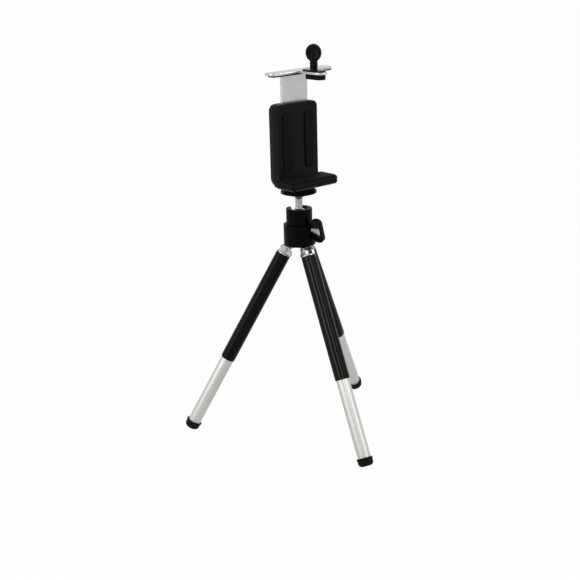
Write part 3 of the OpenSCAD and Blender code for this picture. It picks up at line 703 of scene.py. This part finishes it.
# %% Ball with its stem, flare and thread
BALL_R, STEM_R, FLARE_R, FLARE_LONG, STUD_LONG = 6.0, 2.4, 3.3, 2.4, 5.2
flare_z, plate_top = levels_of("head_plate")
neck = math.degrees(math.asin(STEM_R / BALL_R))
flare = np.c_[STEM_R + (FLARE_R - STEM_R) * np.linspace(0.08, 1, 7) ** 2,
              flare_z - FLARE_LONG + np.linspace(0.15, 2.2, 7)]
stud_profile = stack(
    [[AXIS, ball_z - BALL_R]], arc((0, ball_z), BALL_R, -89, 90 - neck - 3, 44),
    [[STEM_R + 0.06, ball_z + 5.62], [STEM_R, ball_z + 5.85], [STEM_R, flare_z - 2.5]], flare,
    [[FLARE_R, flare_z], [2.7, flare_z], [2.62, flare_z + 0.3], [AXIS, flare_z + 0.3]])
thread = threaded(flare_z, plate_top + STUD_LONG, THREAD_R, THREAD_DEEP, PITCH)
stud = build("ball_stud", [lathe(WORLD, stud_profile), (at(WORLD, thread), False)], sharp=40)
dress(stud, nickel, "ball", "nickel", "ball_stud")

# %% Head plate and its rubber disc
PLATE_R, PLATE_BORE, PLATE_FOOT, PAD_R, PAD_T = 12.0, 3.2, 3.8, 10.5, 1.0
plate_profile = stack(
    [[PLATE_BORE, flare_z], [PLATE_FOOT, flare_z], [PLATE_R - 0.4, plate_top - 1.62]],
    arc((PLATE_R - 0.2, plate_top - 1.35), 0.2, -60, 0, 3),
    arc((PLATE_R - 0.3, plate_top - 0.3), 0.3, 0, 90, 5), [[PLATE_BORE, plate_top]])
plate = build("head_plate_turned", [(lathe(WORLD, plate_profile, FINE_TURN)[0], True)])
dress(plate, enamel, "head", "black_metal", "head_plate")
pad_profile = stack(
    [[PLATE_BORE, plate_top], [PAD_R - 0.2, plate_top]],
    arc((PAD_R - 0.2, plate_top + 0.2), 0.2, -60, 0, 3),
    arc((PAD_R - 0.2, plate_top + PAD_T - 0.2), 0.2, 0, 90, 4), [[PLATE_BORE, plate_top + PAD_T]])
plate_disc = build("plate_disc", [(lathe(WORLD, pad_profile, FINE_TURN)[0], True)])
dress(plate_disc, rubber, "head", "rubber", "plate_pad")

# %% [markdown]
# ## Lock knob
# Two moulded lobes stand on a turned, satin boss that is the lock screw's own head. The lobes could be
# modelled from a cube, but their outline is a band round four discs, and two round scoops thin them
# beside the boss, where it shows. The knob leans a little, as it was left when it was tightened.

# %% Lock screw and boss
KNOB_START, KNOB_DEPTH, BOSS_R = 11.2, 7.8, 3.1
SHANK_R, SHANK_FROM, BOSS_FOOT, BOSS_ROUND = 1.5, 6.75, 1.8, 0.3
boss_from, boss_to = KNOB_START + KNOB_DEPTH * 0.1, KNOB_START + KNOB_DEPTH * 0.88
boss_wide = boss_from + (boss_to - boss_from) * 0.82
screw_profile = stack(
    [[AXIS, SHANK_FROM], [1.2, SHANK_FROM], [SHANK_R, 7.1], [SHANK_R, boss_from]],
    [[BOSS_FOOT, boss_from], [BOSS_R - 0.08, boss_wide - 0.2]],
    arc((BOSS_R - BOSS_ROUND, boss_wide + 0.1), BOSS_ROUND, -10, 60, 5),
    [[BOSS_R * 0.8, boss_to - 0.2], [BOSS_R * 0.75, boss_to], [AXIS, boss_to]])
lock_screw = build("lock_screw_turned", [lathe(lock_place, screw_profile)])
dress(lock_screw, satin, "lock", "nickel", "lock_screw")

# %% Lobes
LEAN, KNOB_HALF, LOBE_T, LOBE_EDGE = math.radians(17), 8.5, 2.2, 1.1
LOBE_R = KNOB_DEPTH * 0.4
lean_x = math.cos(LEAN) * lock_place[1][0] + math.sin(LEAN) * lock_place[1][1]
knob_axes = axes_from(lock_place[0], lean_x, lock_place[1][2])
lobe_x, lobe_y = KNOB_HALF - LOBE_R, (KNOB_START + LOBE_R, KNOB_START + KNOB_DEPTH - LOBE_R)
wing_line = resample(band(*((x, y, LOBE_R) for x in (-lobe_x, lobe_x) for y in lobe_y)), 160)
wing_side = turned(knob_axes, "x", "-y")
wings = build("lock_wings", [prism(wing_side, wing_line, soft_edges(-LOBE_T, LOBE_T, LOBE_EDGE, 8))])

# %% Scoops and the bore for the boss
SCOOP_R, SCOOP_OUT, SLACK = BOSS_R * 1.05, LOBE_T + BOSS_R * 0.35, 0.03
below = KNOB_START - 1
middles = [knob_axes[0] + SCOOP_OUT * side * MM * knob_axes[1][1] for side in (-1, 1)]
scoops = [rod((middle, knob_axes[1]), SCOOP_R, below, boss_to, 64) for middle in middles]
bore = stack(
    [[0.02, below], [BOSS_FOOT + SLACK, below], [BOSS_FOOT + SLACK, boss_from]],
    [[BOSS_R - 0.08 + SLACK, boss_wide - 0.2]],
    arc((BOSS_R - BOSS_ROUND, boss_wide + 0.1), BOSS_ROUND + SLACK, -10, 60, 5),
    [[BOSS_R * 0.8 + SLACK, boss_to - 0.2], [BOSS_R * 0.75 + SLACK, boss_to + SLACK]],
    [[0.02, boss_to + SLACK]])
carve(wings, scoops + [build("tool", [lathe(knob_axes, bore)])])
soften(wings, 0.18)
dress(wings, gloss, "lock", "gloss_black", "lock_knob")

# %% [markdown]
# ## Under the hub
# A cast block with three lugs carries the hinge pins, and a crossed screw holds it to the hub. The block
# is a softened copy of its construction, because its edges are all that casting and plating round. The
# screw is turned, and its cross is cut by two bars.

# %% Hinge block
block = copy_of("hinge_block", "hinge_block_cast", 0.18)
dress(block, nickel, "hub", "nickel", "hinge_block")

# %% Base screw
SCREW_HEAD_R, SCREW_HEAD_T, CROSS_LONG, CROSS_WIDE, CROSS_DEEP = 2.7, 0.98, 1.7, 0.33, 0.6
screw_z, screw_top = levels_of("base_screw")


def bar(place, half_x, half_y, low, high):
    """A tool solid: a square bar from low to high."""
    corners = vec([[half_x, -half_y], [half_x, half_y], [-half_x, half_y], [-half_x, -half_y]])
    return build("tool", [prism(place, resample(corners, 16), stack([[0, low], [0, high]]))])


under_head = screw_z + SCREW_HEAD_T
base_profile = stack(
    [[AXIS, screw_z], [SCREW_HEAD_R - 0.8, screw_z]],
    arc((SCREW_HEAD_R - 0.8, screw_z + 0.8), 0.8, -80, 0, 8),
    [[SCREW_HEAD_R, under_head], [SHANK_R, under_head], [SHANK_R, screw_top], [AXIS, screw_top]])
base = build("base_screw_pan", [lathe(WORLD, base_profile, 64)])
carve(base, [bar(WORLD, *half, screw_z - 1, screw_z + CROSS_DEEP)
             for half in ((CROSS_LONG, CROSS_WIDE), (CROSS_WIDE, CROSS_LONG))])
dress(base, zinc, "hub", "steel", "base_screw")

# %% Hidden parts keep their own shape
keep("ball_seat", nylon)
keep("thread_insert", brass)
for i in (1, 2, 3):
    keep(f"leg_bush_{i}", moulded)

# %% [markdown]
# ## Clamp
# The lower jaw and its upright are one moulding, with a groove round the jaw's rim. A new surface would
# have to repeat every pocket and slot that the sliding plate needs, so softened copies keep them.

# %% Clamp moulding and cover
jaw_top = levels_of("lower_pad")[0]
JAW_HALF, JAW_FRONT, JAW_BACK, JAW_CORNER = 19.8, 17.8, 1.2, 2.2
RIM_GROOVE_DEEP, RIM_GROOVE_HALF, RIM_GROOVE_DOWN, MOULD_EDGE = 0.35, 0.22, 2.3, 0.3


def jaw_line(inset):
    """Open line round the jaw's two sides and front, moved inwards by the inset."""
    half, front, r = JAW_HALF - inset, inset - JAW_FRONT, JAW_CORNER - inset
    return stack([[-half, JAW_BACK]], arc((r - half, front + r), r, 180, 270, 9),
                 arc((half - r, front + r), r, 270, 360, 9), [[half, JAW_BACK]])


groove_line = stack(jaw_line(-1.5), jaw_line(RIM_GROOVE_DEEP)[::-1])
groove_z = jaw_top - RIM_GROOVE_DOWN
groove_rows = stack([[0, groove_z - RIM_GROOVE_HALF], [0, groove_z + RIM_GROOVE_HALF]])
moulding = copy_of("clamp_body", "clamp_moulding", MOULD_EDGE)
ring = build("tool", [prism(WORLD, groove_line, groove_rows)])
carve(moulding, [ring])
dress(moulding, moulded, "head", "black_plastic", "clamp_body")
cover = copy_of("back_cover", "clamp_cover", MOULD_EDGE)
dress(cover, moulded, "head", "black_plastic", "back_cover")

# %% [markdown]
# ## Ribbed rubber
# The pads grip with ribs. Bump alone would leave their outline flat, so the ribs are in the mesh. A pad
# is a grid over a rounded rectangle: its height drops by a quarter round near the rim and by a rib wave
# inside, so the ribs run out before the edge as moulded rubber does.

# %% Stations across a pad
RIM_STEPS = vec([0, 0.02, 0.06, 0.12, 0.2, 0.3])
CROWDED = 0.36


def span_steps(half, count):
    """Stations from one end to the other, crowded near both ends where the rim is rounded."""
    middle = np.linspace(CROWDED - half, half - CROWDED, count)
    return np.concatenate([RIM_STEPS - half, middle, (half - RIM_STEPS)[::-1]])


print("stations over 2 mm", span_steps(1.0, 3).round(2).tolist())


# %% Ribbed pads
def ribbed_pad(place, width, length, thick, corner, pitch, deep, across=24, rows=150, edge=0.3):
    """Height = thick - rim drop - deep * rib wave, and the wave is the top half of a cosine."""
    s = span_steps(length / 2, rows)[:, None]
    past = np.maximum(np.abs(s) - (length / 2 - corner), 0)
    reach = width / 2 - corner + np.sqrt(np.maximum(corner**2 - past**2, 0))
    u = span_steps(width / 2, across)[None, :] / (width / 2)
    a = u * reach
    rim = corner - np.hypot(np.maximum(np.abs(a) - (width / 2 - corner), 0), past)
    near = np.clip(rim, 0, edge)
    drop_rim = edge - np.sqrt(edge**2 - (edge - near) ** 2)
    wave = np.clip(np.cos(2 * np.pi * s / pitch) * 2 - 0.8, 0, 1) * np.clip((rim - 0.5) * 3, 0, 1)
    top = np.stack(np.broadcast_arrays(a, s, thick - drop_rim - deep * wave), -1)
    under = np.stack(np.broadcast_arrays(a, s, np.zeros_like(a)), -1)[:, ::-1]
    return at(place, np.concatenate([top, under], 1)), False


def node_frame(node, x, z):
    """A frame in the middle of the side that z points away from, and the node's sizes in mm."""
    low, high = (vec(corner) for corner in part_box(node))
    x, z = vec(x), vec(z)
    return axes_from((low + high) / 2 - z * abs((high - low) @ z) / 2, x, z), (high - low) / MM


# %% Lower pad, strips and wing pad
PAD_CREASE, UPRIGHT_W, STRIP_SHARE = 50, 34, 0.22
STRIP_W = UPRIGHT_W * STRIP_SHARE
place, size = node_frame("lower_pad", [1, 0, 0], [0, 0, 1])
lower = build("lower_pad_ribbed", [
    ribbed_pad(place, *size, corner=1.1, pitch=3.0, deep=0.5)], PAD_CREASE)
dress(lower, rubber, "head", "rubber", "lower_pad")
place, size = node_frame("back_pads", [1, 0, 0], [0, -1, 0])
strips = []
for side in (-1, 1):
    origin = place[0] + vec([side * (size[0] - STRIP_W) / 2, 0, 0]) * MM
    strips.append(ribbed_pad((origin, place[1]), STRIP_W, size[2], size[1], corner=STRIP_W / 3,
                             pitch=1.6, deep=0.3, rows=300))
back = build("back_strips", strips, PAD_CREASE)
dress(back, rubber, "head", "rubber", "back_pads")
place, size = node_frame("wing_pad", [1, 0, 0], [0, 0, -1])
under = build("wing_pad_ribbed", [
    ribbed_pad(place, *size, corner=1.5, pitch=1.1, deep=0.35, rows=60)], PAD_CREASE)
dress(under, rubber, "jaw", "rubber", "wing_pad")

# %% Cover screws
SCREW_R, HEAD_R, HEAD_T = 1.2, 2.04, 0.6
SLOT_HALF, SLOT_WIDE, SLOT_FROM, SLOT_TURNS = 1.25, 0.2, 0.26, (0.3, 1.2, 2.2, 2.9)
screw_low, screw_high = corners_of("cover_screws")
cover_y = corners_of("back_cover")[1][1]
screw_in = screw_low[1] - cover_y
screw_line = stack([[AXIS, screw_in], [SCREW_R, screw_in], [SCREW_R, 0.01], [HEAD_R, 0.01]],
                   arc((HEAD_R - 0.42, HEAD_T - 0.42), 0.42, 0, 90, 6), [[AXIS, HEAD_T]])
heads = [[x * MM, cover_y * MM, z * MM] for x in (screw_low[0] + HEAD_R, screw_high[0] - HEAD_R)
         for z in (screw_low[2] + HEAD_R, screw_high[2] - HEAD_R)]
outwards = vec([0, 1, 0])
screws = build("cover_screw_heads", [
    lathe(axes_from(head, vec([1, 0, 0]), outwards), screw_line, 40) for head in heads])
slot_places = [axes_from(head, vec([math.cos(t), 0, math.sin(t)]), outwards)
               for head, t in zip(heads, SLOT_TURNS)]
slots = [bar(place, SLOT_HALF, SLOT_WIDE, SLOT_FROM, 2) for place in slot_places]
carve(screws, slots)
dress(screws, zinc, "head", "steel", "cover_screws")

# %% [markdown]
# ## Upper jaw, hook and thumb screw
# The upper jaw is bent sheet: its upright slides in the clamp, its wings press on the device and its
# tongue carries a ribbed hook block under it and a cap over it. An Array could repeat one rib, but a
# wave added along the length of the hook's outline follows the bend and leaves no seams.

# %% Sliding plate
plate_copy = copy_of("slide_plate", "upper_plate", 0.2)
dress(plate_copy, sheet_steel, "jaw", "nickel", "slide_plate")

# %% Hook block and cap
thumb_low, thumb_high = corners_of("thumb_screw")
hook_place = (vec([0, (thumb_low[1] + thumb_high[1]) / 2 * MM, 0]), np.eye(3))
hook_z, hook_top = levels_of("hook_block")
cap_z, cap_top = levels_of("hook_cap")
HOOK_R, STRETCH, HOOK_BACK, RIB, RIB_COUNT, BACK_ROUND = 3.6, 5.6, 4.7, 0.4, 21, 0.8


def ribbed_outline(count=720):
    """The hook's outline pushed outwards by RIB * sqrt(|cos|) of its length, with a plain back side."""
    r, back_y = HOOK_R - RIB, HOOK_BACK - BACK_ROUND
    base = resample(stack(
        arc((0, -STRETCH), r, 180, 360, 60), arc((r - BACK_ROUND, back_y), BACK_ROUND, 0, 90, 8),
        arc((BACK_ROUND - r, back_y), BACK_ROUND, 90, 180, 8)), count)
    length = np.r_[0, np.cumsum(np.linalg.norm(np.diff(base, axis=0), axis=1))]
    ribbed = math.pi * r + 2 * (back_y + STRETCH)
    from_back = (length + back_y + STRETCH) % (length[-1] * count / (count - 1))
    wave = np.sqrt(np.abs(np.cos(np.pi * RIB_COUNT * from_back / ribbed)))
    return base - inward(base) * (RIB * wave * (from_back < ribbed))[:, None]


hook_rows = soft_edges(hook_z, hook_top, edge=0.22, steps=4)
hook = build("hook_ribbed", [prism(hook_place, ribbed_outline(), hook_rows)], sharp=60)
dress(hook, rubber, "hook", "rubber", "hook_block")
round_ends = arc((0, STRETCH), HOOK_R, 0, 180, 60), arc((0, -STRETCH), HOOK_R, 180, 360, 60)
cap_line = resample(stack(*round_ends), 200)
cap_rows = soft_edges(cap_z, cap_top, edge=0.35, steps=7)
cap = build("hook_cap_moulded", [prism(hook_place, cap_line, cap_rows)], sharp=50)
dress(cap, gloss, "hook", "gloss_black", "hook_cap")

# %% Thumb knob's flattened head
HEAD_TURN, HEAD_W, HEAD_H, HEAD_HALF = math.radians(26), 10.3, 11.1, 1.75
HOLLOW_R, HOLLOW_DEEP, HEAD_BEND, HEAD_RIM = 3.1, 0.25, 0.45, 0.5
knob_z, knob_top = levels_of("thumb_knob")
head_mid = knob_top - HEAD_H / 2
face = vec([math.cos(HEAD_TURN), math.sin(HEAD_TURN), 0])
head_place = axes_from(hook_place[0] + vec([0, 0, head_mid * MM]), np.cross([0, 0, 1], face), face)
half_face = stack(
    [[AXIS, HEAD_HALF - HOLLOW_DEEP], [HOLLOW_R, HEAD_HALF - 0.22]],
    [[HOLLOW_R + 0.4, HEAD_HALF - 0.12], [HOLLOW_R + 0.7, HEAD_HALF]],
    arc((HOLLOW_R + 0.9, HEAD_HALF - HEAD_BEND), HEAD_BEND, 90, 50, 4),
    arc((HEAD_W / 2 - HEAD_RIM, 0.72), HEAD_RIM, 48, 0, 5))
both_faces = stack(half_face, half_face[::-1] * [1, -1])
disc = build("thumb_knob_moulded", [
    lathe(head_place, both_faces, columns=128, squash=HEAD_H / HEAD_W)])

# %% Thumb knob's neck
NECK_R, NECK_FOOT, NECK_BEND, NECK_GAP = 2.5, 2.95, 0.9, 0.03
neck_z = knob_z + NECK_GAP
neck_profile = stack(
    [[AXIS, neck_z], [NECK_FOOT, neck_z]], arc((3.2, neck_z + NECK_BEND), NECK_BEND, -105, -180, 6),
    [[NECK_R, neck_z + 1.4], [NECK_R, head_mid], [AXIS, head_mid]])
carve(disc, [build("tool", [lathe(hook_place, neck_profile, 64)])], "UNION")
soften(disc, 0.16, angle=40)
dress(disc, gloss, "thumb", "gloss_black", "thumb_knob")

# %% Thumb screw
FINE_DEEP, FINE_PITCH = 0.25, 0.5
fine_r = (thumb_high[0] - thumb_low[0]) / 2
fine_thread = threaded(thumb_low[2], thumb_high[2], fine_r, FINE_DEEP, FINE_PITCH, columns=36, steps=8)
screw = build("thumb_screw_thread", [(at(hook_place, fine_thread), False)], sharp=40)
dress(screw, zinc, "thumb", "steel", "thumb_screw")

# %% [markdown]
# ## Pull springs
# Two wound springs inside the clamp pull the upper jaw down. A curve with a bevel could draw them; a
# ring of points carried along a helix stays a mesh.

# %% Coils
WIRE_R, COILS, RING, STEPS_A_TURN = 0.25, 13, 8, 26


def coil(centre, radius, low, high):
    """Wire circle carried along (R cos a, R sin a, z), with a flat closed turn at both ends."""
    a = np.linspace(0, 2 * np.pi * (COILS + 2), (COILS + 2) * STEPS_A_TURN)
    span = high - low
    heights = [0, 2.2 * WIRE_R, span - 4.2 * WIRE_R, span - 2 * WIRE_R]
    lift = np.interp(a / (2 * np.pi), [0, 1, COILS + 1, COILS + 2], heights)
    path = np.c_[centre[0] + radius * np.cos(a), centre[1] + radius * np.sin(a), low + WIRE_R + lift]
    out = np.c_[np.cos(a), np.sin(a), np.zeros_like(a)]
    along = np.gradient(path, axis=0)
    along /= np.linalg.norm(along, axis=1)[:, None]
    side = np.cross(along, out)
    t = np.linspace(0, 2 * np.pi, RING, endpoint=False)
    ring = out[:, None] * np.cos(t)[None, :, None] + side[:, None] * np.sin(t)[None, :, None]
    return at(WORLD, path[:, None] + ring * WIRE_R), False


for node in ("spring_left", "spring_right"):
    low, high = corners_of(node)
    middle = (low + high) / 2
    radius = (high[0] - low[0]) / 2 - WIRE_R
    wound = build(node + "_wound", [coil(middle, radius, low[2], high[2])], sharp=60)
    dress(wound, zinc, None, "steel", node)
    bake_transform(wound)

# %% [markdown]
# ## Camera, floor and light
# The camera looks 18 degrees down from 81 centimetres away, with a long lens, as the catalogue view
# does. A higher light would bleach the metal, so the background is white by its own glow, which only
# camera and mirror rays see. The floor keeps the shadow, and tall soft lamps draw long bright lines on
# the tubes.

# %% Camera
EYE_DOWN, ROLL, YAW = math.radians(17.62), math.radians(-1.53), math.radians(40.5)
DISTANCE, AIM, LENS, SENSOR = 0.81215, vec([-0.00748, 0.0, 0.101]), 74.05, 36.0
ahead = vec([0, math.cos(EYE_DOWN), -math.sin(EYE_DOWN)])
right = vec([1.0, 0, 0])
up = np.cross(right, ahead)
c, s = math.cos(ROLL), math.sin(ROLL)
right, up = c * right + s * up, c * up - s * right
c, s = math.cos(YAW), math.sin(YAW)
TO_ROW = np.array([[c, s, 0], [-s, c, 0], [0, 0, 1]])
camera_data = bpy.data.cameras.new("camera")
camera_data.sensor_width = SENSOR
camera_data.lens = LENS
camera = bpy.data.objects.new("camera", camera_data)
columns = [TO_ROW @ right, TO_ROW @ up, TO_ROW @ -ahead, TO_ROW @ (AIM - ahead * DISTANCE)]
camera.matrix_world = Matrix([[*(float(c[i]) for c in columns)] for i in range(3)] + [[0, 0, 0, 1]])
bpy.context.scene.collection.objects.link(camera)
bpy.context.scene.camera = camera
print("camera at", [round(v, 3) for v in camera.matrix_world.translation])


# %% Rays that see the white background
def show_white(tree, plain, white, share, output):
    """Camera, glossy and transmission rays see white by its share; other rays meet the plain shader."""
    rays = tree.nodes.new("ShaderNodeLightPath")
    found = rays.outputs["Is Camera Ray"]
    for ray in ("Is Glossy Ray", "Is Transmission Ray"):
        either = tree.nodes.new("ShaderNodeMath")
        either.operation = "MAXIMUM"
        tree.links.new(found, either.inputs[0])
        tree.links.new(rays.outputs[ray], either.inputs[1])
        found = either.outputs["Value"]
    part = tree.nodes.new("ShaderNodeMath")
    part.operation = "MULTIPLY"
    part.inputs[1].default_value = share
    tree.links.new(found, part.inputs[0])
    mix = tree.nodes.new("ShaderNodeMixShader")
    tree.links.new(part.outputs["Value"], mix.inputs["Fac"])
    tree.links.new(plain, mix.inputs[1])
    tree.links.new(white, mix.inputs[2])
    tree.links.new(mix.outputs["Shader"], tree.nodes[output].inputs["Surface"])
    print(output, "shows white by", share)


# %% Floor
REACH, PAPER_WHITE, PAPER_ROUGH, GLOW_SHARE = 6.0, 0.92, 0.9, 0.97
floor_mesh = bpy.data.meshes.new("floor")
corners = [(-REACH, -REACH, 0), (REACH, -REACH, 0), (REACH, REACH, 0), (-REACH, REACH, 0)]
floor_mesh.from_pydata(corners, [], [(0, 1, 2, 3)])
floor = bpy.data.objects.new("floor", floor_mesh)
bpy.context.scene.collection.objects.link(floor)

# %% Paper
paper = bpy.data.materials.new("paper")
paper.use_nodes = True
tree = paper.node_tree
shader = tree.nodes["Principled BSDF"]
shader.inputs["Base Color"].default_value = (PAPER_WHITE, PAPER_WHITE, PAPER_WHITE, 1)
shader.inputs["Roughness"].default_value = PAPER_ROUGH
glow = tree.nodes.new("ShaderNodeEmission")
glow.inputs["Color"].default_value = (1, 1, 1, 1)
show_white(tree, shader.outputs["BSDF"], glow.outputs["Emission"], GLOW_SHARE, "Material Output")
floor_mesh.materials.append(paper)


# %% Lamps
LAMP_AIM = vec([0, 0, 0.13])


def lamp(name, azimuth, elevation, distance, size, power):
    """A soft rectangular lamp that faces the object, at an azimuth from the camera's side."""
    a, e = math.radians(azimuth), math.radians(elevation)
    from_camera = vec([math.sin(a) * math.cos(e), -math.cos(a) * math.cos(e), math.sin(e)])
    place = TO_ROW @ from_camera * distance + LAMP_AIM
    data = bpy.data.lights.new(name, "AREA")
    data.shape = "RECTANGLE"
    data.size, data.size_y = size
    data.energy = power
    light = bpy.data.objects.new(name, data)
    light.location = place
    light.rotation_mode = "QUATERNION"
    light.rotation_quaternion = Vector(-(place - LAMP_AIM)).to_track_quat("-Z", "Y")
    bpy.context.scene.collection.objects.link(light)
    print(name, size, "m", power, "W")


lamp("left_softbox", -62, 22, 0.9, (0.34, 0.8), 3.2)
lamp("right_softbox", 58, 28, 0.9, (0.14, 0.8), 2.4)
lamp("top_softbox", 10, 80, 1.0, (0.9, 0.7), 2.2)

# %% World
WORLD_LIGHT = 0.35
world = bpy.data.worlds.new("studio")
bpy.context.scene.world = world
world.use_nodes = True
tree = world.node_tree
back = tree.nodes["Background"]
seen = tree.nodes.new("ShaderNodeBackground")
back.inputs["Color"].default_value = (1, 1, 1, 1)
back.inputs["Strength"].default_value = WORLD_LIGHT
seen.inputs["Color"].default_value = (1, 1, 1, 1)
show_white(tree, back.outputs["Background"], seen.outputs["Background"], 1.0, "World Output")
bpy.context.scene.view_settings.view_transform = "Standard"
